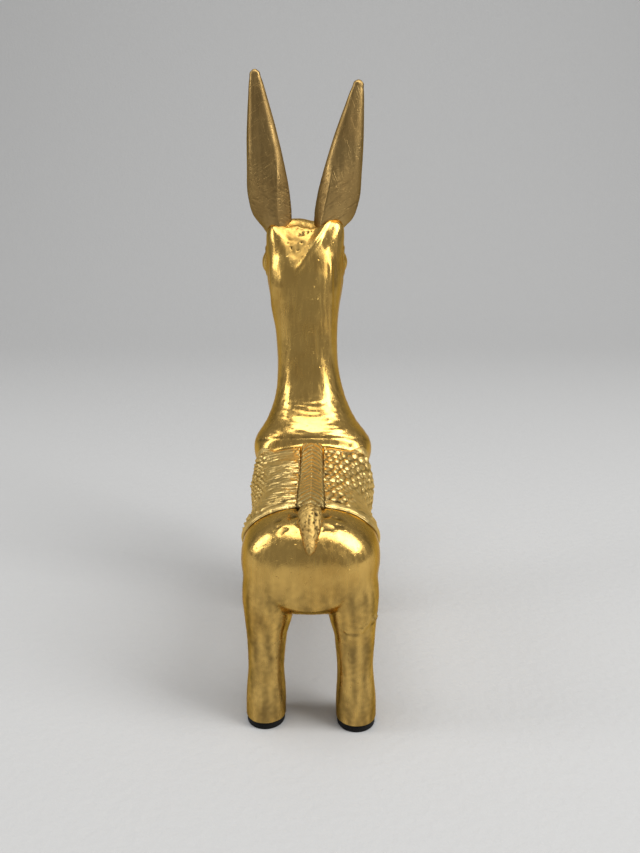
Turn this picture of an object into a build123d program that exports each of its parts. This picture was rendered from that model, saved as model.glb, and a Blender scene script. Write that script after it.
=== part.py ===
"""A standing donkey statuette in polished cast brass, 205 mm tall.

The torso is a hollow casting in two halves, brazed along the spine and the belly.
Neck and head are one cored casting on the collar. Legs, ears and tail are solid
castings on pegs. A saddle cloth in two flaps and a chased spine band lie on the
back, and a felt pad is glued under each foot.

Frame: +Z up, +Y the way the animal faces, +X to its right, origin on the floor
under the middle of the overall box. While it is built, Y = 0 is the hind leg axis
and Z = 0 is the plane where the legs join the torso.
"""

import math
import os

from build123d import *

# Feet and legs
pad_thickness = 2.5
pad_inset = 0.4
leg_length = 28.5
foot_radius = 6.4
shin_radius = 5.8
leg_top_radius = 6.4
hoof_height = 5.0
shin_drop = 11.0
hoof_stretch = 1.08
spigot_radius = 3.0
spigot_length = 5.0
foot_splay = 0.7
hind_leg_x = 13.7
hind_leg_y = 0.0
right_hind_setback = 1.6
fore_leg_x = 13.0
fore_leg_y = 74.0

# Thigh stations, as (height above the leg joint, inward shift, forward shift, half width, half depth)
hind_thigh_stations = [
    (6.0, 0.0, 0.4, 6.9, 8.2),
    (13.0, 0.5, 1.6, 8.1, 10.2),
    (22.0, 2.0, 3.0, 8.6, 11.0),
]
fore_thigh_stations = [
    (6.0, 0.0, 0.2, 6.9, 8.0),
    (13.0, 0.2, 0.6, 8.0, 9.6),
    (22.0, 1.2, 1.0, 8.4, 10.0),
]

# Torso stations along Y, as (y, half width, top, bottom), heights above the leg joint
rump_end = (-11.5, 20.5)
torso_stations = [
    (-10.6, 8.2, 28.4, 14.0),
    (-8.6, 13.6, 32.6, 10.9),
    (-4.6, 18.6, 36.6, 8.7),
    (2.0, 21.2, 38.8, 7.2),
    (12.0, 21.6, 39.4, 5.6),
    (32.0, 19.6, 38.2, 3.2),
    (50.0, 20.4, 38.8, 2.4),
    (67.0, 22.2, 40.4, 2.0),
    (80.0, 21.6, 39.4, 2.6),
    (90.0, 16.8, 35.2, 5.4),
    (95.4, 10.2, 29.0, 10.4),
]
chest_end = (98.0, 19.6)
roundness = 0.86
torso_wall = 3.0

# Collar, the tilted seat that carries the neck on the torso
collar_y = 82.0
collar_z = 37.0
collar_tilt = 23.0
collar_half_width = 22.6
collar_half_depth = 17.6
collar_root_depth = 16.0
collar_lip = 6.0
neck_spigot_length = 4.0

# Neck stations above the collar, as (y, height above the leg joint, half width, half depth, tilt)
neck_stations = [
    (86.5, 44.6, 17.4, 15.8, 18.0),
    (90.0, 53.0, 13.8, 14.2, 13.0),
    (92.4, 62.5, 12.2, 13.2, 10.0),
    (94.4, 74.0, 12.0, 13.0, 9.0),
    (96.6, 87.0, 13.3, 13.6, 9.0),
    (98.4, 98.0, 14.9, 14.0, 9.0),
    (99.6, 108.0, 14.6, 12.6, 9.0),
    (99.8, 115.0, 12.4, 9.6, 9.0),
]
poll_end = (99.8, 120.0)
neck_wall = 3.2
head_offset = -3.1
head_lean = 0.6

# Head stations along its sloping axis, as (distance from the skull, half width, half depth)
skull_y = 95.0
skull_z = 112.0
head_pitch = 34.0
head_stations = [
    (2.0, 11.4, 9.0),
    (8.0, 14.2, 13.4),
    (16.0, 13.4, 14.0),
    (27.0, 10.2, 11.2),
    (36.0, 8.6, 8.8),
    (43.0, 8.8, 8.4),
    (47.5, 7.0, 6.4),
]
head_length = 50.0
eye_from_skull = 11.5
eye_below_axis = 1.0
eye_out = 12.9
eye_radius = 4.1
eye_stretch = 1.5

# Ear stations, as (share of the length, width, ridge behind, swell in front, inward shift)
ear_stations = [
    (0.0, 7.0, 3.2, 3.0, 3.0),
    (0.1, 10.4, 4.2, 2.2, 2.2),
    (0.18, 14.6, 5.2, 0.6, 0.8),
    (0.29, 16.6, 5.6, -1.8, 0.0),
    (0.48, 14.6, 4.8, -2.0, 0.0),
    (0.66, 11.6, 3.8, -1.6, 0.0),
    (0.83, 7.8, 2.6, -1.0, 0.0),
    (0.955, 4.2, 1.4, -0.5, 0.0),
    (1.0, 2.0, 0.8, -0.2, 0.0),
]
left_ear_length = 63.5
right_ear_length = 60.5
left_ear_x = -11.6
right_ear_x = 9.8
left_ear_splay = 5.9
right_ear_splay = 10.2
ear_y = 99.0
ear_z = 111.0
ear_turn = 12.0
ear_ridge_share = 0.22
ear_peg_radius = 1.6
ear_peg_length = 5.0
ear_peg_root = 11.0
ear_peg_back = 1.4

# Tail stations, as (share of the length, half width)
tail_stations = [(0.0, 2.6), (0.16, 3.7), (0.42, 3.5), (0.72, 2.3), (0.94, 1.1), (1.0, 0.6)]
tail_length = 16.5
tail_y = 2.5
tail_z = 40.4
tail_droop = 32.0
tail_peg_radius = 1.6
tail_peg_length = 8.0
tail_peg_from_root = 5.5

# Saddle cloth and spine band
cloth_thickness = 1.0
cloth_rear_y = 6.0
cloth_rear_z = 32.0
cloth_hem_y = 24.0
cloth_hem_z = 17.0
cloth_notch_y = 63.0
cloth_notch_z = 34.0
cloth_notch_rise = 6.0
cloth_front_y = 70.0
cloth_corner = 6.0
hem_width = 2.8
hem_height = 0.4
fold_first_y = 9.0
fold_pitch = 14.0
fold_count = 4
fold_width = 3.2
fold_lean = 1.4
fold_top_z = 44.0
band_width = 8.0
band_base = 1.1
band_rear_y = 8.0
chevron_height = 0.6
chevron_pitch = 3.6
chevron_width = 2.0
chevron_slope = 1.4

braze_gap = 0.05
socket_gap = 0.3
seam_gap = 0.4
REACH = 400.0

leg_joint_z = pad_thickness + leg_length
torso_middle = (rump_end[0] + chest_end[0]) / 2
torso_half_length = (chest_end[0] - rump_end[0]) / 2
collar_rear_y = collar_y - collar_half_depth * math.cos(math.radians(collar_tilt))


# Torso: one family of sections makes the outside, the core and the cloth on top
def power(value, exponent):
    return math.copysign(abs(value) ** exponent, value)


def torso_section(y, half_width, top, bottom, grow):
    stretch = 1 + grow / torso_half_length
    middle = (top + bottom) / 2
    points = []
    for step in range(8):
        angle = step * math.pi / 4
        across = power(math.cos(angle), roundness) * (half_width + grow)
        up = power(math.sin(angle), roundness) * ((top - bottom) / 2 + grow)
        points.append((across, torso_middle + (y - torso_middle) * stretch, middle + up))
    return make_face(Spline(*points, periodic=True))


def barrel(grow=0.0):
    sections = [Vertex(0, rump_end[0] - grow, rump_end[1])]
    sections += [torso_section(*station, grow) for station in torso_stations]
    sections.append(Vertex(0, chest_end[0] + grow, chest_end[1]))
    return loft(sections)


def cross_ellipse(x, y, z, half_width, half_depth, tilt=0.0):
    """An ellipse across a limb whose axis leans tilt degrees forwards of upright."""
    lean = math.radians(tilt)
    plane = Plane((x, y, z), x_dir=(1, 0, 0), z_dir=(0, math.sin(lean), math.cos(lean)))
    return plane * Ellipse(half_width, half_depth)


# Legs: four plain columns, each with a spigot that goes up into its thigh
leg_places = {
    "hind_left": (-hind_leg_x, hind_leg_y, hind_thigh_stations),
    "hind_right": (hind_leg_x, hind_leg_y - right_hind_setback, hind_thigh_stations),
    "fore_left": (-fore_leg_x, fore_leg_y, fore_thigh_stations),
    "fore_right": (fore_leg_x, fore_leg_y, fore_thigh_stations),
}


def leg_section(x, y, z, radius):
    outward = math.copysign(foot_splay, x) * -z / leg_length
    return cross_ellipse(x + outward, y, z, radius, radius * hoof_stretch)


def leg(x, y):
    column = loft(
        [
            leg_section(x, y, -leg_length, foot_radius - pad_inset / 2),
            leg_section(x, y, -leg_length + hoof_height, foot_radius),
            leg_section(x, y, -shin_drop, shin_radius),
            leg_section(x, y, 0, leg_top_radius),
        ]
    )
    return column + extrude(Plane((x, y, 0)) * Circle(spigot_radius), spigot_length)


def leg_socket(x, y):
    return extrude(Plane((x, y, 0)) * Circle(spigot_radius + braze_gap), spigot_length + socket_gap)


def thigh(x, y, stations):
    inward = -math.copysign(1, x)
    sections = [leg_section(x, y, 0, leg_top_radius)]
    for z, shift_in, shift_forward, half_width, half_depth in stations:
        sections.append(cross_ellipse(x + inward * shift_in, y + shift_forward, z, half_width, half_depth))
    return loft(sections)


def pad(x, y):
    outline = leg_section(x, y, -leg_length, foot_radius - pad_inset)
    return extrude(outline, -pad_thickness)


# Collar: the torso's root and the neck meet on one tilted plane
collar_plane = Plane(
    (0, collar_y, collar_z),
    x_dir=(1, 0, 0),
    z_dir=(0, math.sin(math.radians(collar_tilt)), math.cos(math.radians(collar_tilt))),
)


def collar_ellipse(inset=0.0, offset=0.0):
    return collar_plane.offset(offset) * Ellipse(collar_half_width - inset, collar_half_depth - inset)


def above_collar():
    return collar_plane * Pos(0, 0, REACH / 2) * Box(REACH, REACH, REACH)


def neck_root():
    return loft(
        [
            collar_ellipse(2.0, -collar_root_depth),
            collar_ellipse(0.2, -collar_root_depth / 2),
            collar_ellipse(),
        ]
    )


def torso_shell():
    shell = barrel() + neck_root()
    for x, y, stations in leg_places.values():
        shell += thigh(x, y, stations)
    shell -= above_collar()
    shell -= barrel(-torso_wall)
    shell -= extrude(collar_ellipse(collar_lip), -collar_root_depth)
    for x, y, _ in leg_places.values():
        shell -= leg_socket(x, y)
    return shell


# Neck and head: one casting, cored from the collar up to the skull
def neck_sections(stations, grow=0.0):
    top = neck_stations[-1][1]
    sections = []
    for y, z, half_width, half_depth, tilt in stations:
        shift = head_offset * ((z - collar_z) / (top - collar_z)) ** head_lean
        sections.append(cross_ellipse(shift, y, z, half_width + grow, half_depth + grow, tilt))
    return sections


def neck_form():
    poll = Vertex(head_offset, *poll_end)
    return loft([collar_ellipse(), *neck_sections(neck_stations), poll])


def neck_core():
    throat = collar_ellipse(collar_lip + neck_wall)
    y, z = neck_stations[-2][:2]
    crown = Vertex(head_offset, y, z - neck_wall)
    return loft([throat, *neck_sections(neck_stations[:-2], -neck_wall), crown])


head_plane = Plane(
    (head_offset, skull_y, skull_z),
    x_dir=(1, 0, 0),
    z_dir=(0, math.cos(math.radians(head_pitch)), -math.sin(math.radians(head_pitch))),
)


def head_form():
    sections = []
    for distance, half_width, half_depth in head_stations:
        sections.append(head_plane.offset(distance) * Ellipse(half_width, half_depth))
    sections.append(Vertex(*head_plane.offset(head_length).origin))
    return loft(sections)


def eye(side):
    ball = scale(Sphere(eye_radius), by=(0.8, 1.0, eye_stretch))
    return head_plane * Pos(side * eye_out, eye_below_axis, eye_from_skull) * ball


def neck_and_head():
    skin = neck_form() + head_form() + eye(-1) + eye(1)
    spigot = extrude(collar_ellipse(collar_lip + braze_gap), -neck_spigot_length)
    throat = extrude(collar_ellipse(collar_lip + neck_wall), -neck_spigot_length)
    return skin + (spigot - throat) - neck_core()


# Ears: hollowed in front, ridged behind, leaning outwards from the poll
def ear_section(length, side, share, width, ridge_depth, swell, shift):
    middle = -side * shift
    inner = (middle - side * width / 2, 0)
    outer = (middle + side * width / 2, 0)
    ridge = (middle - side * width * ear_ridge_share, -ridge_depth)
    inner_back = (middle - side * width * (0.5 + ear_ridge_share) / 2, -ridge_depth * 0.62)
    outer_back = (middle + side * width * (0.5 - ear_ridge_share) / 2, -ridge_depth * 0.66)
    outline = [
        ThreePointArc(inner, inner_back, ridge),
        ThreePointArc(ridge, outer_back, outer),
        ThreePointArc(outer, (middle, swell), inner),
    ]
    return Plane((0, 0, length * share)) * make_face(outline)


def ear_place(side):
    x = left_ear_x if side < 0 else right_ear_x
    splay = left_ear_splay if side < 0 else right_ear_splay
    return Pos(head_offset + x, ear_y, ear_z) * Rot(0, side * splay, 0) * Rot(0, 0, side * ear_turn)


def ear_blade(side):
    length = left_ear_length if side < 0 else right_ear_length
    return loft([ear_section(length, side, *station) for station in ear_stations])


def ear_peg(side, gap=0.0, end_gap=0.0):
    foot = Plane((-side * ear_stations[0][4], -ear_peg_back, -ear_peg_length - end_gap))
    return extrude(foot * Circle(ear_peg_radius + gap), ear_peg_length + end_gap + ear_peg_root)


def ear(side, skin):
    return ear_place(side) * ear_blade(side) - skin + ear_place(side) * ear_peg(side)


# Tail: a short carrot lying back along the rump, on a peg across the torso seam
tail_plane = Plane(
    (0, tail_y, tail_z),
    x_dir=(1, 0, 0),
    z_dir=(0, -math.cos(math.radians(tail_droop)), -math.sin(math.radians(tail_droop))),
)


def tail_form():
    return loft([tail_plane.offset(share * tail_length) * Circle(radius) for share, radius in tail_stations])


def tail_peg(gap):
    root = tail_plane.offset(tail_peg_from_root).origin
    return extrude(Plane(root) * Circle(tail_peg_radius + gap), -tail_peg_length)


# Saddle cloth and spine band: layers that lie on the barrel
def cloth_outline():
    top = collar_z + collar_half_depth
    outline = Polyline(
        (cloth_hem_y, cloth_hem_z),
        (cloth_rear_y, cloth_rear_z),
        (cloth_rear_y, top),
        (cloth_front_y, top),
        (cloth_front_y, cloth_notch_z + cloth_notch_rise),
        (cloth_notch_y, cloth_notch_z),
        (cloth_front_y, cloth_notch_z - cloth_notch_rise),
        (cloth_front_y, cloth_hem_z),
        close=True,
    )
    face = make_face(outline)
    corners = face.vertices().sort_by(Axis.Y)[:2] + [face.vertices().sort_by(Axis.X)[2]]
    return fillet(corners, cloth_corner)


def fold(y):
    run = (fold_top_z - cloth_hem_z) * fold_lean
    outline = Polyline(
        (y, fold_top_z),
        (y + fold_width, fold_top_z),
        (y + fold_width + run, cloth_hem_z),
        (y + run, cloth_hem_z),
        close=True,
    )
    return make_face(outline)


def cloth(torso):
    outline = cloth_outline()
    flap = extrude(Plane.YZ * outline, REACH / 2, both=True)
    layer = flap & barrel(cloth_thickness)
    raised = outline - offset(outline, -hem_width)
    for step in range(fold_count):
        raised += outline & fold(fold_first_y + step * fold_pitch)
    relief = extrude(Plane.YZ * raised, REACH / 2, both=True) & barrel(cloth_thickness + hem_height)
    middle = Box(band_width + 2 * seam_gap, REACH, REACH)
    return layer + relief - torso - above_collar() - middle


def chevron(y):
    half = band_width / 2
    rise = half * chevron_slope
    outline = Polyline(
        (-half, y),
        (0, y + rise),
        (half, y),
        (half, y + chevron_width),
        (0, y + rise + chevron_width),
        (-half, y + chevron_width),
        close=True,
    )
    return make_face(outline)


def spine_band(torso):
    length = collar_rear_y + collar_lip / 2 - band_rear_y
    strip = Pos(0, band_rear_y + length / 2) * Rectangle(band_width, length)
    starts = [band_rear_y + step * chevron_pitch for step in range(int(length / chevron_pitch))]
    ribs = Sketch() + [strip & chevron(y) for y in starts]
    base = extrude(Pos(0, 0, rump_end[1]) * strip, REACH / 2) & barrel(band_base)
    chased = extrude(Pos(0, 0, rump_end[1]) * ribs, REACH / 2) & barrel(band_base + chevron_height)
    return base + chased - torso - above_collar()


def build():
    torso = torso_shell()
    solid_torso = torso + barrel(-torso_wall / 2)
    neck = neck_and_head()
    skin = neck + neck_core()
    parts = {}
    for side, name in ((-1, "left_ear"), (1, "right_ear")):
        parts[name] = ear(side, skin)
        neck -= ear_place(side) * ear_peg(side, braze_gap, socket_gap)
    parts["neck_and_head"] = neck
    parts["tail"] = tail_form() - solid_torso + tail_peg(0)
    parts["spine_band"] = spine_band(solid_torso) - parts["tail"]
    torso -= tail_peg(braze_gap)
    parts["torso_left"] = split(torso, Plane.YZ, Keep.BOTTOM)
    parts["torso_right"] = split(torso, Plane.YZ, Keep.TOP)
    flaps = cloth(solid_torso)
    parts["saddle_cloth_left"] = split(flaps, Plane.YZ, Keep.BOTTOM)
    parts["saddle_cloth_right"] = split(flaps, Plane.YZ, Keep.TOP)
    for name, (x, y, _) in leg_places.items():
        parts[name + "_leg"] = leg(x, y)
        parts[name + "_pad"] = pad(x, y)
    return parts


os.makedirs("parts", exist_ok=True)
parts = build()
box = Compound(list(parts.values())).bounding_box()
to_origin = Pos(-box.center().X, -box.center().Y, -box.min.Z)
for name, shape in parts.items():
    export_step(to_origin * shape, f"parts/{name}.step")
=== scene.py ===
import math

import bmesh
import bpy
import numpy as np
from mathutils import Matrix, Vector, noise
from mathutils.bvhtree import BVHTree


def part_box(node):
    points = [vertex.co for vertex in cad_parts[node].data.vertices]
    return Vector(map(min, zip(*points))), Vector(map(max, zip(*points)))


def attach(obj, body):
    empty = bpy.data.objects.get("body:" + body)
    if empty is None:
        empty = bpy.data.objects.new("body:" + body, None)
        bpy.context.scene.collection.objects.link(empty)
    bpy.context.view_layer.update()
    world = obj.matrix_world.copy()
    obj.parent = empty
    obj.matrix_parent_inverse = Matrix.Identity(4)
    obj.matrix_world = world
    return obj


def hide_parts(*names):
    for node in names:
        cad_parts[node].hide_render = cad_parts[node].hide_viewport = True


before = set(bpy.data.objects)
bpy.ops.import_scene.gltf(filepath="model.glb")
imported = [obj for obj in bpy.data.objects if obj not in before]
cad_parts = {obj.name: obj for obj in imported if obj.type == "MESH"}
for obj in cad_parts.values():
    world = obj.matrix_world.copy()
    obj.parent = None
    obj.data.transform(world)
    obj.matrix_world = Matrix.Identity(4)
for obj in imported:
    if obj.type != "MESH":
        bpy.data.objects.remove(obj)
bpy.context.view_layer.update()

# The skin of the animal: one surface, which the torso, neck, head and leg castings share.
# It is lofted limb by limb, fused and rubbed smooth, so that it can be sawn into castings
# along the braze joints. Sizes are millimetres from the hip, between the tops of the hind legs.
MM = 0.001
left_pad_low, left_pad_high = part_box("hind_left_pad")
right_pad_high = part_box("hind_right_pad")[1]
joint_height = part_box("torso_left")[0].z
hip = Vector((
    (left_pad_low.x + right_pad_high.x) / 2,
    (left_pad_low.y + left_pad_high.y) / 2,
    joint_height,
))


def at(x, y, z):
    return hip + Vector((x, y, z)) * MM


def curve_through(stations, count):
    """Even steps on a smooth curve through stations, whose first three numbers are places."""
    table = np.array(stations, float)
    steps = np.linalg.norm(np.diff(table[:, :3], axis=0), axis=1)
    reach = np.concatenate([[0.0], np.cumsum(steps)])
    slope = np.gradient(table, reach, axis=0)
    places = np.linspace(0.0, reach[-1], count)
    k = np.clip(np.searchsorted(reach, places) - 1, 0, len(reach) - 2)
    span = (reach[k + 1] - reach[k])[:, None]
    t = (places - reach[k])[:, None] / span
    return (
        (1 + 2 * t) * (1 - t) ** 2 * table[k]
        + t * (1 - t) ** 2 * span * slope[k]
        + t * t * (3 - 2 * t) * table[k + 1]
        + t * t * (t - 1) * span * slope[k + 1]
    )


def squared(value, roundness):
    return math.copysign(abs(value) ** roundness, value)


def bridge_rings(bm, rings):
    """Joins rings of vertices into one closed tube with a flat cap at each end."""
    edges = [list(dict.fromkeys(e for v in ring for e in v.link_edges)) for ring in rings]
    for before, after in zip(edges, edges[1:]):
        bmesh.ops.bridge_loops(bm, edges=before + after)
    for ring in (rings[0], rings[-1]):
        bmesh.ops.contextual_create(bm, geom=ring)


def loft_limb(bm, stations, count, roundness=1.0, segments=64):
    """A limb through (x, y, z, half width, half depth, tilt of its axis towards the head)."""
    rings = []
    for x, y, z, half_width, half_depth, tilt in curve_through(stations, count):
        place = Matrix.Translation(at(x, y, z)) @ Matrix.Rotation(-math.radians(tilt), 4, "X")
        ring = bmesh.ops.create_circle(bm, radius=1.0, segments=segments)["verts"]
        for v in ring:
            across = squared(v.co.x, roundness) * half_width * MM
            deep = squared(v.co.y, roundness) * half_depth * MM
            v.co = place @ Vector((across, deep, 0.0))
        rings.append(ring)
    bridge_rings(bm, rings)


skin_bm = bmesh.new()

# (place along the back, half width, top, underside)
barrel_stations = [
    (-11.5, 0.4, 20.9, 20.1),
    (-10.6, 8.2, 28.4, 14.0),
    (-8.6, 13.6, 32.6, 10.9),
    (-4.6, 18.6, 36.6, 8.7),
    (2.0, 21.2, 38.8, 7.2),
    (12.0, 21.6, 39.4, 5.6),
    (32.0, 19.6, 38.2, 3.2),
    (50.0, 20.4, 38.8, 2.4),
    (67.0, 22.2, 40.4, 2.0),
    (80.0, 21.6, 39.4, 2.6),
    (90.0, 16.8, 35.2, 5.4),
    (95.4, 10.2, 29.0, 10.4),
    (98.0, 0.4, 20.0, 19.2),
]
level = 90.0
barrel = [
    (0.0, y, (top + low) / 2, half_width, (top - low) / 2, level)
    for y, half_width, top, low in barrel_stations
]
loft_limb(skin_bm, barrel, 120, roundness=0.86, segments=96)

foot_drop = 28.5
# (side, place across, place along the back)
leg_places = {
    "hind_left": (-1, 13.7, 0.0),
    "hind_right": (1, 13.7, -1.6),
    "fore_left": (-1, 13.0, 74.0),
    "fore_right": (1, 13.0, 74.0),
}
for name, (side, x, y) in leg_places.items():
    hind = name.startswith("hind")
    thigh, shift = (0.0, y) if hind else (y, 0.0)
    leg_stations = [
        (side * (x + 0.8), y, -foot_drop - 4.0, 6.4, 6.9, 0),
        (side * (x + 0.7), y, -foot_drop, 6.4, 6.9, 0),
        (side * (x + 0.6), y, -23.5, 6.4, 6.9, 0),
        (side * (x + 0.3), y, -11.0, 5.8, 6.3, 0),
        (side * x, y, 0.0, 6.4, 6.9, 0),
        (side * x, thigh + 0.7 * shift + 0.4, 6.0, 6.9, 8.2, 0),
        (side * (x - 0.5), thigh + 0.3 * shift + (1.6 if hind else 0.6), 13.0, 8.1, 10.2, 0),
        (side * (x - 2.0), thigh + (3.0 if hind else 1.0), 22.0, 8.6, 11.0, 0),
    ]
    loft_limb(skin_bm, leg_stations, 48)

collar = (0.0, 82.0, 37.0)
collar_tilt = 23.0
neck = [
    (0.0, 76.0, 22.0, 19.0, 15.0, collar_tilt),
    (*collar, 22.6, 17.6, collar_tilt),
    (-0.6, 86.5, 44.6, 17.4, 15.8, 18.0),
    (-1.0, 90.0, 53.0, 13.8, 14.2, 13.0),
    (-1.7, 92.4, 62.5, 12.2, 13.2, 10.0),
    (-2.1, 94.4, 74.0, 12.0, 13.0, 9.0),
    (-2.5, 96.6, 87.0, 13.3, 13.6, 9.0),
    (-2.8, 98.4, 98.0, 14.9, 14.0, 9.0),
    (-3.0, 99.6, 108.0, 14.6, 12.6, 9.0),
    (-3.1, 99.8, 115.0, 12.4, 9.6, 9.0),
    (-3.1, 99.8, 119.4, 6.0, 4.5, 9.0),
    (-3.1, 99.8, 120.4, 0.6, 0.6, 9.0),
]
loft_limb(skin_bm, neck, 110, roundness=0.88)

head_offset = -3.1
head_drop = 34.0
head_pitch = math.radians(head_drop)
skull = Vector((head_offset, 95.0, 112.0))
head_ahead = Vector((0.0, math.cos(head_pitch), -math.sin(head_pitch)))
head_up = Vector((0.0, math.sin(head_pitch), math.cos(head_pitch)))
# (distance ahead of the skull, half width, half depth)
head_sections = [
    (2.0, 11.4, 9.0),
    (8.0, 14.2, 13.4),
    (16.0, 13.4, 14.0),
    (27.0, 10.2, 11.2),
    (36.0, 8.6, 8.8),
    (43.0, 8.8, 8.4),
    (47.5, 7.0, 6.4),
    (49.3, 3.6, 3.2),
    (50.0, 0.5, 0.5),
]
head = [
    (*(skull + head_ahead * distance), half_width, half_depth, level + head_drop)
    for distance, half_width, half_depth in head_sections
]
loft_limb(skin_bm, head, 70, roundness=0.94)

eye_along, eye_rise, eye_out = 12.0, -1.6, 12.6
eye_length, eye_height, eye_bulge = 6.6, 4.9, 4.4
for side in (-1, 1):
    eye = skull + head_ahead * eye_along + head_up * eye_rise + Vector((side * eye_out, 0.0, 0.0))
    ball = Matrix.Diagonal((eye_bulge * MM, eye_length * MM, eye_height * MM, 1.0))
    place = Matrix.Translation(at(*eye)) @ Matrix.Rotation(-head_pitch, 4, "X") @ ball
    bmesh.ops.create_uvsphere(skin_bm, u_segments=32, v_segments=20, radius=1.0, matrix=place)
bmesh.ops.recalc_face_normals(skin_bm, faces=skin_bm.faces)


def new_object(name, bm):
    mesh = bpy.data.meshes.new(name)
    bm.to_mesh(mesh)
    bm.free()
    obj = bpy.data.objects.new(name, mesh)
    bpy.context.scene.collection.objects.link(obj)
    return obj


def apply_modifiers(obj):
    graph = bpy.context.evaluated_depsgraph_get()
    mesh = bpy.data.meshes.new_from_object(obj.evaluated_get(graph))
    obj.modifiers.clear()
    obj.data = mesh


def fused_skin(name, grain):
    """The limbs melted into one surface of the given grain, with soft fillets where they meet."""
    obj = new_object(name, skin_bm.copy())
    fuse = obj.modifiers.new("fuse", "REMESH")
    fuse.mode = "VOXEL"
    fuse.voxel_size = grain * MM
    rub = obj.modifiers.new("rub", "SMOOTH")
    rub.factor = 0.5
    # A finer grain takes more rubbing for fillets of the same size.
    rub.iterations = round(11.0 / grain**2)
    apply_modifiers(obj)
    return obj


def smooth_step(low, high, value):
    t = np.clip((value - low) / (high - low), 0.0, 1.0)
    return t * t * (3 - 2 * t)


def dent(points, centre, radii):
    """1 at the centre of an ellipsoid and 0 outside it, with a soft edge."""
    away = np.linalg.norm((points - np.array(centre)) / np.array(radii), axis=1)
    return 1 - smooth_step(0.0, 1.0, away)


def crest(distance, width):
    """1 along a line or a rim, fading to 0 about two widths away from it."""
    return np.exp(-((distance / width) ** 2))


def lumps(points, size, seed=0.0):
    """Soft noise between about -1 and 1, with lumps of the given size or (x, y, z) sizes."""
    moved = np.asarray(points) / np.array(size) + seed
    return np.array([noise.noise(p) for p in moved])


def places_and_normals(mesh):
    places = np.empty(len(mesh.vertices) * 3)
    normals = np.empty(len(mesh.vertices) * 3)
    mesh.vertices.foreach_get("co", places)
    mesh.vertex_normals.foreach_get("vector", normals)
    return (places.reshape(-1, 3) - np.array(hip)) / MM, normals.reshape(-1, 3)


def move_out(mesh, places, normals, rise):
    moved = places + normals * rise[:, None]
    mesh.vertices.foreach_set("co", (moved * MM + np.array(hip)).ravel())
    mesh.update()


def set_share(mesh, name, values):
    """Stores a share at each vertex for the finish to read: how grimy and darkened by painted
    shade, or how raw, the surface is.
    """
    shares = mesh.attributes.new(name, "FLOAT", "POINT")
    shares.data.foreach_set("value", np.clip(values, 0.0, 1.0))


def hand_shaped(points):
    """What was done to all the castings: soft waves of the file, and a full chest."""
    waves = 0.13 * lumps(points, 9.0, 2.6) + 0.04 * lumps(points, 3.2, 5.0)
    chest = dent(points, (0.0, 97.0, 33.0), (20.0, 8.0, 8.0))
    return waves + 1.4 * chest


def flap_edge(outline, height):
    """How far along the back a saddle cloth's edge lies, at a height on the flank."""
    return np.interp(height, [z for z, y in outline], [y for z, y in outline])


body_grain = 0.55
skin = fused_skin("skin", body_grain)
places, normals = places_and_normals(skin.data)
x, y, z = places.T
rise = hand_shaped(places)
scars = np.zeros(len(places))
for side in (-1, 1):
    shoulder = dent(places, (side * 21.0, 66.5, 34.5), (9.0, 9.0, 7.5))
    inner_thigh = dent(places, (side * 6.6, 3.0, 6.0), (7.0, 16.0, 7.0))
    thigh_back = dent(places, (side * 9.0, -10.0, 12.0), (8.0, 8.0, 5.0))
    rise += 1.9 * shoulder + 1.3 * inner_thigh - 0.25 * thigh_back
    beside_tail = dent(places, (side * 6.5, -1.5, 36.5), (6.5, 7.0, 7.0))
    patches = smooth_step(0.05, 0.35, lumps(places, 2.4, 17.0 + side))
    scars += patches * smooth_step(0.1, 0.5, beside_tail)
rise -= 0.25 * scars
leg_streaks = lumps(places, (2.6, 2.6, 26.0), 13.0) * smooth_step(8.0, 0.0, z)
rise += 0.06 * leg_streaks

# The bead of braze over the right hind leg, and the crease where the neck meets the back.
braze = smooth_step(9.0, 12.0, x) * smooth_step(2.0, -3.0, y)
from_bead = z - 5.0 - 2.5 * smooth_step(15.0, 19.0, x)
blobs = np.clip(0.3 + 0.9 * lumps(places, 1.8, 3.0), 0.0, 1.0)
rise += braze * crest(from_bead, 1.0) * blobs
under_bead = braze * crest(from_bead + 1.3, 0.4)
collar_place = at(*collar)
collar_lean = math.radians(collar_tilt)
collar_normal = Vector((0.0, math.sin(collar_lean), math.cos(collar_lean)))
from_collar = (places - np.array(collar)) @ np.array(collar_normal)
collar_crease = crest(from_collar + 0.8, 0.5) * smooth_step(78.0, 72.0, y)
rise -= 0.22 * collar_crease
move_out(skin.data, places, normals, rise)

# Darkening in the gaps beside the band and the cloths, in the collar crease and under the braze
# bead, which is grime with painted shade; dark scars beside the tail; and a mottled painted dark
# reflection low down.
flap_low, flap_high = 17.0, 41.0
# (height, place along the back)
rear_outline = [
    (flap_low, 22.0),
    (18.5, 19.0),
    (29.0, 8.6),
    (32.0, 6.4),
    (34.0, 6.0),
    (flap_high, 6.0),
]
spine_gap = smooth_step(6.0, 4.2, np.abs(x)) * smooth_step(33.0, 36.0, z)
spine_gap *= smooth_step(-2.0, 4.0, y) * smooth_step(64.0, 62.0, y)
patchy = smooth_step(-0.45, 0.35, lumps(places, 3.0, 7.0))
gaps = (0.9 * spine_gap + 0.7 * collar_crease + 0.45 * under_bead) * patchy
hem_line = crest(y - flap_edge(rear_outline, z), 0.45)
hem_line *= smooth_step(flap_low - 1.0, flap_low + 1.0, z)
# Low down, the body and legs are painted darker in mottled vertical streaks: a painted dark
# reflection.
mottle = 0.5 + 0.7 * lumps(places, (2.0, 2.0, 10.0), 41.0) + 0.35 * lumps(places, 1.3, 23.0)
painted_dark_reflection = smooth_step(29.0, 13.0, z) * np.clip(mottle, 0.0, 1.0)
set_share(skin.data, "grime_and_shade", gaps + 0.7 * hem_line + 0.7 * scars + 0.64 * painted_dark_reflection)
skin_tree = BVHTree.FromPolygons(
    [v.co.copy() for v in skin.data.vertices], [list(p.vertices) for p in skin.data.polygons]
)
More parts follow.
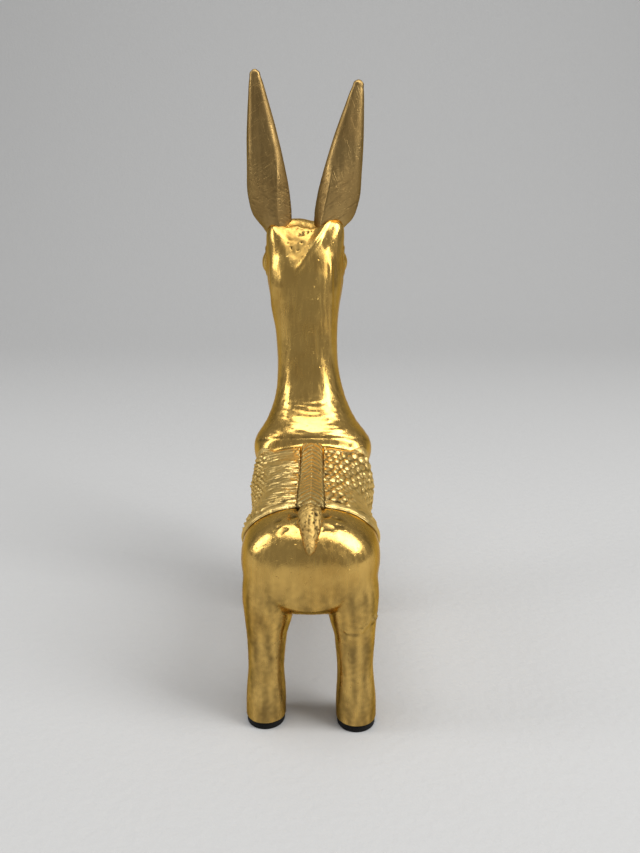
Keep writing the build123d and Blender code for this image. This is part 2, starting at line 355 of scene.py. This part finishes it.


# Torso: two hollow castings, brazed along the spine and the belly and polished until the
# seam is gone. Yellow brass, bright on the high places, browner where the buff does not reach, with
# painted shade in the gaps, and painted darker low down as a painted dark reflection.
def saw(bm, place, normal):
    """Cuts away what lies on the normal's side of a plane and closes the cut, with a sharp edge."""
    everything = bm.verts[:] + bm.edges[:] + bm.faces[:]
    bmesh.ops.bisect_plane(
        bm, geom=everything, plane_co=place, plane_no=normal, clear_outer=True
    )
    rim = [e for e in bm.edges if e.is_boundary]
    for edge in rim:
        edge.smooth = False
    bmesh.ops.holes_fill(bm, edges=rim)


def shade_smooth(bm):
    for face in bm.faces:
        face.smooth = True


def casting(name, blank, cuts):
    bm = bmesh.new()
    bm.from_mesh(blank.data)
    for place, normal in cuts:
        saw(bm, place, normal)
    shade_smooth(bm)
    return new_object(name, bm)


class Finish:
    """A finish of metal, felt or paper: a material, with short calls for the nodes it uses."""

    def __init__(self, name):
        self.material = bpy.data.materials.new(name)
        self.material.use_nodes = True
        self.nodes = self.material.node_tree.nodes
        self.links = self.material.node_tree.links
        self.shader = self.nodes["Principled BSDF"]
        self.place = self.nodes.new("ShaderNodeTexCoord").outputs["Object"]

    def feed(self, socket, value):
        if isinstance(value, bpy.types.NodeSocket):
            self.links.new(value, socket)
        else:
            socket.default_value = value

    def node(self, kind, inputs, output=0, **settings):
        made = self.nodes.new(kind)
        for setting, value in settings.items():
            setattr(made, setting, value)
        for socket, value in inputs.items():
            self.feed(made.inputs[socket], value)
        return made.outputs[output]

    def set(self, **sockets):
        for socket, value in sockets.items():
            self.feed(self.shader.inputs[socket.replace("_", " ")], value)

    def share(self, name):
        return self.node("ShaderNodeAttribute", {}, output="Fac", attribute_name=name)

    def stretched(self, scale, turn=(0.0, 0.0, 0.0)):
        turned = self.node("ShaderNodeMapping", {"Vector": self.place, "Rotation": turn})
        return self.node("ShaderNodeMapping", {"Vector": turned, "Scale": scale})

    def clouds(self, scale, detail=4.0, vector=None):
        inputs = {"Vector": vector or self.place, "Scale": scale, "Detail": detail}
        return self.node("ShaderNodeTexNoise", inputs)

    def ramp(self, value, low, high, start=0.0, end=1.0):
        ends = {"Value": value, "From Min": low, "From Max": high, "To Min": start, "To Max": end}
        return self.node("ShaderNodeMapRange", ends, interpolation_type="SMOOTHSTEP")

    def sum(self, *values):
        total = values[0]
        for value in values[1:]:
            total = self.node("ShaderNodeMath", {0: total, 1: value}, operation="ADD")
        return total

    def blend(self, share, under, over):
        inputs = {"Factor": share, 6: under, 7: over}
        return self.node("ShaderNodeMix", inputs, output=2, data_type="RGBA")

    def bump(self, height, depth, under=None):
        inputs = {"Height": height, "Distance": depth}
        if under:
            inputs["Normal"] = under
        return self.node("ShaderNodeBump", inputs)


# The dark brown that a stored share mixes into the brass: grime, together with painted shade in
# gaps, creases and hollows, and a painted dark reflection low on the body.
grime_and_shade_brown = (0.050, 0.034, 0.016, 1.0)
edge_tint = (0.88, 0.68, 0.36, 1.0)
rub_depth = 0.00004


def brass(name, bright, brown, stain_start, roughness, scratch_depth, pit_depth):
    """Cast brass: two tones, a hand-rubbed gloss, cross scratches, small pits, and a dark brown
    mixed in by a stored share, for grime and painted shade.
    """
    finish = Finish(name)
    stain = finish.ramp(finish.clouds(70.0, detail=7.0), stain_start, stain_start + 0.34)
    hollow = finish.share("grime_and_shade")
    raw = finish.share("raw")
    stained = finish.blend(stain, (*bright, 1.0), (*brown, 1.0))
    dirty_and_shaded = finish.blend(hollow, stained, grime_and_shade_brown)
    grain = finish.clouds(800.0, detail=3.0, vector=finish.stretched((1.0, 1.0, 0.10)))
    gloss = finish.sum(
        finish.ramp(grain, 0.3, 0.7, roughness - 0.07, roughness + 0.07),
        finish.ramp(stain, 0.0, 1.0, 0.0, 0.08),
        finish.ramp(hollow, 0.0, 1.0, 0.0, 0.15),
        finish.ramp(raw, 0.0, 1.0, 0.0, 0.22),
    )
    sideways = finish.stretched((0.05, 0.6, 1.0), turn=(0.0, 0.5, 0.2))
    upright = finish.stretched((1.0, 0.6, 0.04), turn=(0.0, 0.35, 0.0))
    scratches = finish.sum(
        finish.ramp(finish.clouds(2200.0, detail=2.0, vector=sideways), 0.56, 0.74),
        finish.ramp(finish.clouds(2400.0, detail=2.0, vector=upright), 0.58, 0.76),
    )
    pits = finish.ramp(finish.clouds(700.0, detail=1.0), 0.70, 0.80)
    rubbed = finish.bump(finish.clouds(260.0, detail=2.0), rub_depth)
    scratched = finish.bump(scratches, -scratch_depth, rubbed)
    finish.set(
        Base_Color=dirty_and_shaded,
        Metallic=1.0,
        Specular_Tint=edge_tint,
        Roughness=gloss,
        Normal=finish.bump(pits, -pit_depth, scratched),
    )
    return finish.material


def fix(piece, node, finish):
    """Gives a piece its finish and its place in the assembly."""
    piece.data.materials.append(finish)
    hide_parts(node)
    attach(piece, "root")


polished = brass(
    "polished_brass",
    bright=(0.73, 0.465, 0.13),
    brown=(0.55, 0.325, 0.08),
    stain_start=0.42,
    roughness=0.21,
    scratch_depth=0.000010,
    pit_depth=0.00005,
)
left_half = (at(0.0, 0.0, 0.0), Vector((1.0, 0.0, 0.0)))
right_half = (at(0.0, 0.0, 0.0), Vector((-1.0, 0.0, 0.0)))
above_legs = (at(0.0, 0.0, 0.0), Vector((0.0, 0.0, -1.0)))
under_neck = (collar_place, collar_normal)
for name, half in (("torso_left", left_half), ("torso_right", right_half)):
    torso = casting(name, skin, [above_legs, under_neck, half])
    fix(torso, name, polished)


# Legs: four solid brass columns, brazed to the thighs and filed flush. The right hind leg still
# shows a bead of braze. The brass is left satin, with file marks on it and a brown patina, and is
# painted darker in mottled streaks as a painted dark reflection.
satin = brass(
    "satin_brass",
    bright=(0.71, 0.46, 0.135),
    brown=(0.51, 0.31, 0.08),
    stain_start=0.40,
    roughness=0.26,
    scratch_depth=0.000035,
    pit_depth=0.0001,
)
between_pairs = at(0.0, 37.0, 0.0)
hind_pair = (between_pairs, Vector((0.0, 1.0, 0.0)))
fore_pair = (between_pairs, Vector((0.0, -1.0, 0.0)))
under_torso = (at(0.0, 0.0, 0.0), Vector((0.0, 0.0, 1.0)))
above_pads = (at(0.0, 0.0, -foot_drop), Vector((0.0, 0.0, -1.0)))
for name, (side, _, _) in leg_places.items():
    half = left_half if side < 0 else right_half
    pair = hind_pair if name.startswith("hind") else fore_pair
    leg = casting(name + "_leg", skin, [under_torso, above_pads, half, pair])
    fix(leg, name + "_leg", satin)


# Neck and head: one cored brass casting on the torso's collar, with the face cast in.
# The nape is a buffed panel between two soft ridges, and the poll is a rough V left by the file.
head_grain = 0.385
fine_skin = fused_skin("fine_skin", head_grain)
neck_and_head = casting("neck_and_head", fine_skin, [(collar_place, -collar_normal)])
places, normals = places_and_normals(neck_and_head.data)
x, y, z = places.T
from_skull = places - np.array(skull)
ahead, up = from_skull @ np.array(head_ahead), from_skull @ np.array(head_up)
on_face = np.stack([from_skull[:, 0], ahead, up], axis=1)
rise = hand_shaped(places)
# The eye creases, the mouth line and the pits of the V are painted darker: grime with painted
# shade.
grime_and_shade = np.zeros(len(places))
for side in (-1, 1):
    nostril = dent(on_face, (side * 4.4, 47.0, 3.4), (2.4, 3.6, 2.4))
    nostril_rim = dent(on_face, (side * 6.2, 43.5, 4.8), (4.0, 5.0, 3.0))
    brow = dent(on_face, (side * 12.0, 13.0, 5.2), (5.0, 9.0, 2.8))
    rise += 0.6 * nostril_rim + 0.8 * brow - 1.6 * nostril
    lid = np.abs((ahead - eye_along) / eye_length) ** 1.6
    lid += np.abs((up - eye_rise) / eye_height) * 1.12
    beside = smooth_step(9.0, 11.0, side * from_skull[:, 0])
    lid_crease = crest(lid - 0.98, 0.11) * beside
    rise += beside * (0.45 * crest(lid - 1.25, 0.14) - 0.75 * lid_crease)
    grime_and_shade += 0.8 * lid_crease
mouth_line = -2.4 - 0.02 * (ahead - 40.0) ** 2
mouth = crest(up - mouth_line, 0.5) * smooth_step(36.0, 41.0, ahead)
rise -= 0.8 * mouth
grime_and_shade += 0.6 * mouth

# The nape: buffed streaks up it, wrinkles across its foot, and a soft ridge on each side.
behind = smooth_step(100.0, 95.0, y)
broad_streaks = lumps(places, (2.6, 2.6, 26.0), 13.0)
thin_streaks = lumps(places, (1.3, 1.3, 20.0), 6.0)
rise += (0.09 * broad_streaks + 0.035 * thin_streaks) * smooth_step(46.0, 54.0, z)
wrinkles = lumps(places, (5.0, 5.0, 0.95), 17.0) * smooth_step(62.0, 52.0, z) * behind
rise += 0.11 * wrinkles
upper = smooth_step(60.0, 86.0, z) * smooth_step(109.0, 102.0, z) * behind
nape_ridge = 11.2
from_nape = np.abs(x - head_offset + 1.2 + 0.3 * lumps(places, (90.0, 90.0, 14.0)))
ridges = crest(from_nape - nape_ridge, 1.0)
beyond_ridges = smooth_step(nape_ridge + 0.2, nape_ridge + 1.8, from_nape)
rise += upper * (0.35 * ridges - 0.45 * beyond_ridges)

# The filed V on the poll, with casting pits, and a lip along its right edge.
apex_x, apex_z = -7.6, 101.0
from_left_edge = x - apex_x + 0.45 * (z - apex_z)
from_right_edge = apex_x + 0.66 * (z - apex_z) - x
above_apex = smooth_step(apex_z - 1.0, apex_z + 4.0, z) * behind
inside_vee = np.minimum(0.45 * from_left_edge, 0.6 * from_right_edge)
vee = smooth_step(-0.5, 1.8, inside_vee) * above_apex
rough = 0.40 * lumps(places, 3.8, 2.0) + 0.14 * lumps(places, 1.6, 9.0)
rise += vee * (rough - 0.3 - 0.11 * (z - apex_z))
lip = above_apex * crest(from_right_edge + 1.4, 1.3) * smooth_step(-2.0, 1.0, from_left_edge)
pits = smooth_step(0.40, 0.58, lumps(places, 1.5, 21.0)) * vee
rise += 0.6 * lip - 0.5 * pits

# The seats of the left and right ears, and the crown between them: (middle, lift, sideways lean)
poll_lifts = [
    ((-14.0, 97.0, 112.5), 4.2, -0.2),
    ((8.2, 97.0, 113.5), 5.2, 0.35),
    ((-9.0, 99.0, 118.0), 1.4, 0.0),
]
lift_radii = (9.5, 10.0, 10.0)
backward_lean = -0.2
for middle, lift, lean in poll_lifts:
    near = dent(places, middle, lift_radii)
    places = places + lift * np.outer(near, (lean, backward_lean, 1.0))
move_out(neck_and_head.data, places, normals, rise)
set_share(neck_and_head.data, "grime_and_shade", grime_and_shade + 0.7 * pits)
set_share(neck_and_head.data, "raw", vee)
fix(neck_and_head, "neck_and_head", polished)
bpy.data.objects.remove(skin)
bpy.data.objects.remove(fine_skin)


# Ears: long solid brass leaves, hollowed in front and ridged behind, brazed into the poll.
# They are filed by hand and have dulled to a brown patina.
aged = brass(
    "aged_brass",
    bright=(0.41, 0.27, 0.10),
    brown=(0.29, 0.185, 0.066),
    stain_start=0.30,
    roughness=0.36,
    scratch_depth=0.00004,
    pit_depth=0.00005,
)
# (0, 0, share of the length, width, height of the ridge, swell of the front, shift inwards)
ear_stations = [
    (0.0, 0.0, 0.0, 7.0, 3.2, 3.0, 3.0),
    (0.0, 0.0, 0.1, 11.2, 4.2, 2.2, 2.0),
    (0.0, 0.0, 0.18, 15.2, 4.7, 0.6, 0.6),
    (0.0, 0.0, 0.29, 16.6, 4.8, -1.6, 0.0),
    (0.0, 0.0, 0.48, 14.6, 4.5, -1.6, 0.0),
    (0.0, 0.0, 0.66, 11.6, 3.8, -1.6, 0.0),
    (0.0, 0.0, 0.83, 7.8, 2.6, -1.0, 0.0),
    (0.0, 0.0, 0.955, 4.5, 1.4, -0.5, 0.0),
    (0.0, 0.0, 0.99, 3.0, 0.9, -0.2, 0.0),
    (0.0, 0.0, 1.0, 1.2, 0.4, -0.1, 0.0),
]
# (side, place across the head, splay in degrees, length, place of the ridge at root and at tip)
ear_seats = {
    "left_ear": (-1, -11.57, 5.9, 63.5, -0.2, -1.4),
    "right_ear": (1, 9.8, 10.2, 60.5, -0.7, -0.6),
}
ear_turn = 12.0
edge_thickness = 0.45


def closed_piece(name, bm):
    """Makes an object of a closed shape, with its faces outwards and shaded smooth."""
    bmesh.ops.recalc_face_normals(bm, faces=bm.faces)
    shade_smooth(bm)
    return new_object(name, bm)


for name, (side, x, splay, length, ridge_root, ridge_tip) in ear_seats.items():
    seat = (
        Matrix.Translation(at(head_offset + x, 99.0, 111.0))
        @ Matrix.Rotation(math.radians(side * splay), 4, "Y")
        @ Matrix.Rotation(math.radians(side * ear_turn), 4, "Z")
    )
    ear_bm = bmesh.new()
    rings = []
    for _, _, share, width, ridge, swell, inward in curve_through(ear_stations, 200):
        ridge_at = max(-0.9, ridge_root + (ridge_tip - ridge_root) * share)
        pillowed = float(smooth_step(0.3, 0.55, share))
        ring = bmesh.ops.create_circle(ear_bm, radius=1.0, segments=96)["verts"]
        for v in ring:
            across = v.co.x
            round_edge = abs(v.co.y) * min(edge_thickness, width * 0.12)
            slope = (across - ridge_at) / (1 - ridge_at if across > ridge_at else -1 - ridge_at)
            if v.co.y < 0:
                ridged = (1 - slope**1.7) ** 0.9 if across > ridge_at else (1 - slope) ** 0.85
                pillow = 0.72 * (1 - across**4) ** 0.7
                deep = -ridge * (ridged + (pillow - ridged) * pillowed) - round_edge
            else:
                deep = swell * (1 - across * across) + round_edge
            place = Vector((side * (across * width / 2 - inward), deep, share * length))
            v.co = seat @ (place * MM)
        rings.append(ring)
    bridge_rings(ear_bm, rings)
    ear = closed_piece(name, ear_bm)
    places, normals = places_and_normals(ear.data)
    x, y, z = places.T
    low_half = smooth_step(152.0, 128.0, z + 6.0 * lumps(places, 5.0, 3.0))
    across_file = 0.85 * z - 0.5 * side * x
    along_file = 0.85 * x + 0.5 * side * z
    filed = np.stack([across_file, along_file, y], axis=1)
    strokes = lumps(filed, (0.65, 4.0, 4.0), 4.0)
    dished = 0.05 * lumps(places, (2.5, 2.5, 7.0)) - 0.07
    move_out(ear.data, places, normals, dished - 0.2 * low_half * np.clip(strokes, 0.0, 1.0))
    # The file strokes low on the ear are painted darker: grime with painted shade.
    set_share(ear.data, "grime_and_shade", 0.3 * low_half * smooth_step(0.2, 0.6, strokes))
    fix(ear, name, aged)


# Saddle cloths: two thin brass flaps over the back, cast with the coat of a blanket on them.
# The left one is chased with combed strokes and scales, the right one with rows of beads.
chased = brass(
    "chased_brass",
    bright=(0.88, 0.63, 0.235),
    brown=(0.74, 0.51, 0.17),
    stain_start=0.44,
    roughness=0.37,
    scratch_depth=0.00003,
    pit_depth=0.00006,
)
front_outline = [
    (flap_low, 69.0),
    (19.0, 72.5),
    (29.0, 73.5),
    (33.5, 69.5),
    (36.5, 64.0),
    (38.5, 62.6),
    (flap_high, 62.3),
]
barrel_middle, barrel_rise, barrel_radius = 20.0, 19.5, 20.5
flap_start, flap_arc = math.radians(12.6), math.radians(84.0)
fold_first, fold_pitch, fold_width, fold_lean, fold_top = 9.0, 14.0, 3.2, 1.4, 44.0
hem_width = 2.8
coat_top = 1.72
cloth_bed = 0.15


def on_skin(y, angle):
    """The skin at a distance along the back and an angle round the barrel, from straight up."""
    outward = Vector((math.sin(angle), 0.0, math.cos(angle)))
    place, normal, _, _ = skin_tree.ray_cast(at(0.0, y, barrel_middle), outward)
    return place, normal


def beads(row, column):
    """Round bumps in staggered rows, 1 at their tops and 0 between them."""
    column = column + 0.5 * (np.floor(row) % 2)
    stray = np.sin(17.0 * np.floor(row) + 29.0 * np.floor(column))
    off_row = row - np.floor(row) - 0.5 + 0.10 * stray
    off_column = column - np.floor(column) - 0.5 + 0.10 * np.sin(5.0 * stray)
    dome = np.clip(1 - 5.0 * (off_row**2 + off_column**2), 0.0, 1.0) ** 0.6
    return (0.85 + 0.25 * stray) * dome


def raised_top(bm):
    """Doubles a sheet into a closed shell and gives the vertices of its upper side."""
    made = bmesh.ops.extrude_face_region(bm, geom=bm.faces[:], use_keep_orig=True)["geom"]
    return [v for v in made if isinstance(v, bmesh.types.BMVert)]


for name, side in (("saddle_cloth_left", -1), ("saddle_cloth_right", 1)):
    cloth_bm = bmesh.new()
    grid = bmesh.ops.create_grid(cloth_bm, x_segments=200, y_segments=120, size=1.0)["verts"]
    along, round_back, from_edge, heights, fronts = [], [], [], [], []
    for v in grid:
        lengthwise, down = (v.co.x + 1) / 2, (v.co.y + 1) / 2
        angle = flap_start + down * flap_arc
        height = barrel_middle + barrel_rise * math.cos(angle)
        rear, front = flap_edge(rear_outline, height), flap_edge(front_outline, height)
        y = rear + (front - rear) * lengthwise
        place, normal = on_skin(y, side * angle)
        v.co = place - normal * cloth_bed * MM
        along.append(y)
        round_back.append(barrel_radius * angle)
        from_edge.append(min(y - rear, front - y, barrel_radius * flap_arc * (1 - down)))
        heights.append((place.z - hip.z) / MM)
        fronts.append(normal)
    along, round_back, from_edge, heights = map(np.array, (along, round_back, from_edge, heights))
    flat = np.stack([along, round_back, np.zeros(len(along))], axis=1)
    drift = lumps(flat, 5.0, side * 3.0)
    combed = along - fold_lean * (fold_top - heights)
    in_fold = (combed - fold_first) % fold_pitch - fold_width / 2
    fold = np.clip(1 - (in_fold / fold_width * 1.6) ** 2, 0.0, 1.0)
    if side < 0:
        hair = np.stack([combed, round_back, drift], axis=1)
        strokes = 1 - 3.0 * np.abs(lumps(hair, (1.3, 9.0, 2.0), 4.0))
        scales = beads((combed + 1.4 * drift) / 2.5, (round_back + 1.2 * drift) / 2.1)
        outer = smooth_step(14.0, 20.0, round_back + 2.0 * drift)
        coat = strokes + (1.4 * scales - 0.5 - strokes) * outer
        coat *= 1 - 0.8 * smooth_step(46.0, 54.0, along) * smooth_step(17.0, 11.0, round_back)
    else:
        coat = 1.4 * beads((along + 1.5 * drift) / 3.4, (round_back + 1.0 * drift) / 2.4) - 0.5
        worn = smooth_step(44.0, 22.0, along) * smooth_step(9.0, 17.0, round_back)
        coat += worn * (0.6 * lumps(flat, 2.2, 4.0) - 0.8 * coat)
    hem = smooth_step(hem_width + 0.4, hem_width - 0.2, from_edge)
    groove = crest(from_edge - hem_width - 0.3, 0.4)
    beside_band = smooth_step(8.0, 5.2, round_back)
    ragged = smooth_step(0.15, 0.45, lumps(flat, 2.2, 12.0)) * beside_band
    near_tail = smooth_step(18.0, 10.0, round_back) * smooth_step(20.0, 12.0, along)
    torn = smooth_step(0.15, 0.4, lumps(flat, 2.4, 31.0)) * near_tail
    pile = 0.9 + 0.32 * fold + 0.56 * coat * (1 - 0.4 * beside_band)
    pile = np.minimum(pile + 0.10 * lumps(flat, 2.6, 8.0), coat_top)
    rolled = 0.3 + 0.8 * np.sin(np.clip(from_edge / hem_width, 0.0, 1.0) * math.pi * 0.6)
    rolled += 0.3 * near_tail * lumps(flat, 3.0, 15.0)
    rise = pile * (1 - hem) + rolled * hem - 0.35 * groove - 0.6 * ragged - 0.3 * torn
    # The low places of the coat, the groove inside the hem and the ragged and torn places are
    # painted darker: grime with painted shade.
    dirt_and_shade = 0.7 * smooth_step(0.0, -0.7, coat) * (1 - hem)
    dirt_and_shade += 0.5 * groove + 0.9 * ragged + 0.8 * torn
    for v, normal, lift in zip(raised_top(cloth_bm), fronts, rise):
        v.co += normal * (lift + cloth_bed) * MM
    cloth = closed_piece(name, cloth_bm)
    # The underside of the shell is painted fully dark, so the cut edges darken towards the skin:
    # painted shade.
    set_share(cloth.data, "grime_and_shade", np.concatenate([np.ones(len(grid)), dirt_and_shade]))
    fix(cloth, name, chased)


# Spine band: a brass strip brazed along the back between the cloths, cast as a herringbone braid.
# It is duller than the cloths and sits in a groove that the buff never reaches; its edges and
# the valleys of its plait are painted dark, grime with painted shade.
braided = brass(
    "braided_brass",
    bright=(0.57, 0.415, 0.155),
    brown=(0.455, 0.315, 0.106),
    stain_start=0.44,
    roughness=0.40,
    scratch_depth=0.00003,
    pit_depth=0.00006,
)
band_rear, band_front = 5.0, 62.8
band_wide, band_narrow = 4.3, 3.7
band_bed = 0.2
braid_pitch, braid_slope = 3.6, 1.4
above_back = 60.0
band_bm = bmesh.new()
grid = bmesh.ops.create_grid(band_bm, x_segments=36, y_segments=220, size=1.0)["verts"]
rises, dirt_and_shade = [], []
for v in grid:
    across, lengthwise = v.co.x, (v.co.y + 1) / 2
    x = across * (band_wide + (band_narrow - band_wide) * lengthwise)
    y = band_rear + (band_front - band_rear) * lengthwise
    place, _, _, _ = skin_tree.ray_cast(at(x, y, above_back), Vector((0.0, 0.0, -1.0)))
    v.co = place - Vector((0.0, 0.0, band_bed * MM))
    jitter = 0.4 * noise.noise(Vector((x / 3.0, y / 5.0, 0.0)))
    strand = ((y + braid_slope * abs(x) + jitter) / braid_pitch) % 1.0
    plait = math.sin(math.pi * strand) ** 0.6
    rim = smooth_step(0.82, 1.0, abs(across)) + smooth_step(3.0, 0.0, y - band_rear)
    uneven = 0.08 * noise.noise(Vector((x, y, 3.0)))
    rises.append(1.0 + 0.75 * plait - 0.4 * min(rim, 1.0) + uneven)
    # Painted darker in the valleys of the plait and along the rim: grime with painted shade.
    dirt_and_shade.append(0.3 * smooth_step(0.6, 0.2, plait) + 0.4 * rim)
for v, lift in zip(raised_top(band_bm), rises):
    v.co.z += (lift + band_bed) * MM
band = closed_piece("spine_band", band_bm)
# The underside is painted fully dark, so the edges darken towards the back: painted shade.
set_share(band.data, "grime_and_shade", np.concatenate([np.ones(len(grid)), dirt_and_shade]))
fix(band, "spine_band", braided)


# Tail: a short solid brass tassel, pegged and brazed below the end of the band.
# It is left rough from the mould, with pits and a groove that are painted dark, grime with painted
# shade.
unpolished = brass(
    "unpolished_brass",
    bright=(0.59, 0.40, 0.13),
    brown=(0.435, 0.275, 0.083),
    stain_start=0.38,
    roughness=0.52,
    scratch_depth=0.00002,
    pit_depth=0.00008,
)
# (0, 0, share of the length, radius)
tail_stations = [
    (0.0, 0.0, 0.0, 2.6),
    (0.0, 0.0, 0.06, 3.3),
    (0.0, 0.0, 0.16, 3.7),
    (0.0, 0.0, 0.42, 3.5),
    (0.0, 0.0, 0.72, 2.3),
    (0.0, 0.0, 0.94, 1.1),
    (0.0, 0.0, 1.0, 0.4),
]
tail_length = 16.5
tail_droop = math.radians(32.0)
tail_turn = Matrix.Rotation(math.pi / 2 + tail_droop, 4, "X")
tail_seat = Matrix.Translation(at(0.0, 2.5, 40.4)) @ tail_turn
tail_bm = bmesh.new()
rings = []
for _, _, share, radius in curve_through(tail_stations, 90):
    ring = bmesh.ops.create_circle(tail_bm, radius=radius * MM, segments=72)["verts"]
    for v in ring:
        v.co = tail_seat @ (v.co + Vector((0.0, 0.0, share * tail_length * MM)))
    rings.append(ring)
bridge_rings(tail_bm, rings)
tail = closed_piece("tail", tail_bm)
places, normals = places_and_normals(tail.data)
x, y, z = places.T
near_peg = smooth_step(-11.0, -3.0, y)
pits = smooth_step(0.24, 0.44, lumps(places, 0.85, 6.0)) * (0.25 + 0.75 * near_peg)
groove = crest(x - 1.7, 0.5) * near_peg
rough = 0.10 * lumps(places, 3.0, 1.0) + 0.11 * lumps(places, 0.9, 4.0)
rough += 0.08 * lumps(places, 0.5, 8.0)
move_out(tail.data, places, normals, rough - 0.40 * pits - 0.35 * groove)
# The pits and the groove are painted darker: grime with painted shade.
set_share(tail.data, "grime_and_shade", 0.8 * pits + 0.5 * groove)
fix(tail, "tail", unpolished)


# Foot pads: black felt discs, cut by hand and glued under the feet.
# The felt is dull and slightly hairy, and its cut edge is a little rounded.
felt = Finish("felt")
nap = felt.clouds(2600.0, detail=6.0)
felt.set(
    Base_Color=felt.blend(nap, (0.003, 0.003, 0.003, 1.0), (0.012, 0.0115, 0.011, 1.0)),
    Roughness=0.95,
    Sheen_Weight=0.04,
    Specular_IOR_Level=0.2,
    Normal=felt.bump(nap, 0.0003),
)
cut_rounding = 0.3
sharp_angle = 1.0
for name in leg_places:
    low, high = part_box(name + "_pad")
    half = (high - low) / 2
    pad_bm = bmesh.new()
    disc = bmesh.ops.create_circle(pad_bm, cap_ends=True, radius=1.0, segments=64)["verts"]
    bmesh.ops.scale(pad_bm, verts=disc, vec=(half.x, half.y, 1.0))
    bmesh.ops.translate(pad_bm, verts=disc, vec=(low.x + half.x, low.y + half.y, low.z))
    bmesh.ops.translate(pad_bm, verts=raised_top(pad_bm), vec=(0.0, 0.0, half.z * 2))
    bmesh.ops.recalc_face_normals(pad_bm, faces=pad_bm.faces)
    bmesh.ops.bevel(
        pad_bm,
        geom=[e for e in pad_bm.edges if e.calc_face_angle(0.0) > sharp_angle],
        offset=cut_rounding * MM,
        segments=3,
        profile=0.5,
        affect="EDGES",
        material=-1,
    )
    fix(new_object(name + "_pad", pad_bm), name + "_pad", felt.material)


# Studio: a pale paper sweep that is floor and wall in one, lit by a large soft box on the right,
# a small one on the left and one overhead. The camera stands behind the animal and looks a
# little down on it. Sizes are metres.
sweep_half_width, sweep_length, sweep_near = 2.5, 3.0, -1.2
bend_start, bend_radius = 0.55, 0.5
sweep_bm = bmesh.new()
sheet = bmesh.ops.create_grid(sweep_bm, x_segments=1, y_segments=60, size=1.0)["verts"]
for v in sheet:
    across = v.co.x * sweep_half_width
    run = (v.co.y + 1.0) / 2 * sweep_length + sweep_near
    turn = min(max(run - bend_start, 0.0) / bend_radius, math.pi / 2)
    climb = max(run - bend_start - bend_radius * math.pi / 2, 0.0)
    v.co = Vector((
        across,
        min(run, bend_start) + bend_radius * math.sin(turn),
        bend_radius * (1 - math.cos(turn)) + climb,
    ))
shade_smooth(sweep_bm)
sweep = new_object("sweep", sweep_bm)
paper = Finish("paper")
paper.set(
    Base_Color=(0.54, 0.54, 0.533, 1.0),
    Roughness=0.8,
    Normal=paper.bump(paper.clouds(300.0), 0.0003),
)
sweep.data.materials.append(paper.material)

lamp_target = Vector((0.0, 0.0, 0.1))


def soft_box(name, place, width, height, power):
    light = bpy.data.lights.new(name, "AREA")
    light.shape = "RECTANGLE"
    light.size = width
    light.size_y = height
    light.energy = power
    lamp = bpy.data.objects.new(name, light)
    lamp.location = place
    lamp.rotation_euler = (lamp_target - Vector(place)).to_track_quat("-Z", "Y").to_euler()
    bpy.context.scene.collection.objects.link(lamp)


soft_box("window", (0.75, -0.35, 0.85), width=0.5, height=1.1, power=10.2)
soft_box("fill", (-0.9, -0.1, 0.55), width=0.25, height=0.7, power=2.35)
soft_box("top", (-0.1, -0.15, 1.1), width=0.75, height=0.55, power=5.1)

room_grey = (0.28, 0.28, 0.287, 1.0)
world = bpy.data.worlds.new("studio")
bpy.context.scene.world = world
world.use_nodes = True
world.node_tree.nodes["Background"].inputs["Color"].default_value = room_grey

picture_height, focal_length = 853, 850
camera_right, camera_back, camera_height = 0.0029, 0.2367, 0.168
camera_tilt = 16.5
camera = bpy.data.cameras.new("camera")
camera.sensor_width = 36.0
camera.lens = camera.sensor_width * focal_length / picture_height
camera_object = bpy.data.objects.new("camera", camera)
camera_object.location = (hip.x + camera_right, hip.y - camera_back, camera_height)
camera_object.rotation_euler = (math.radians(90.0 - camera_tilt), 0.0, 0.0)
bpy.context.scene.collection.objects.link(camera_object)
bpy.context.scene.camera = camera_object
bpy.context.scene.view_settings.view_transform = "Standard"
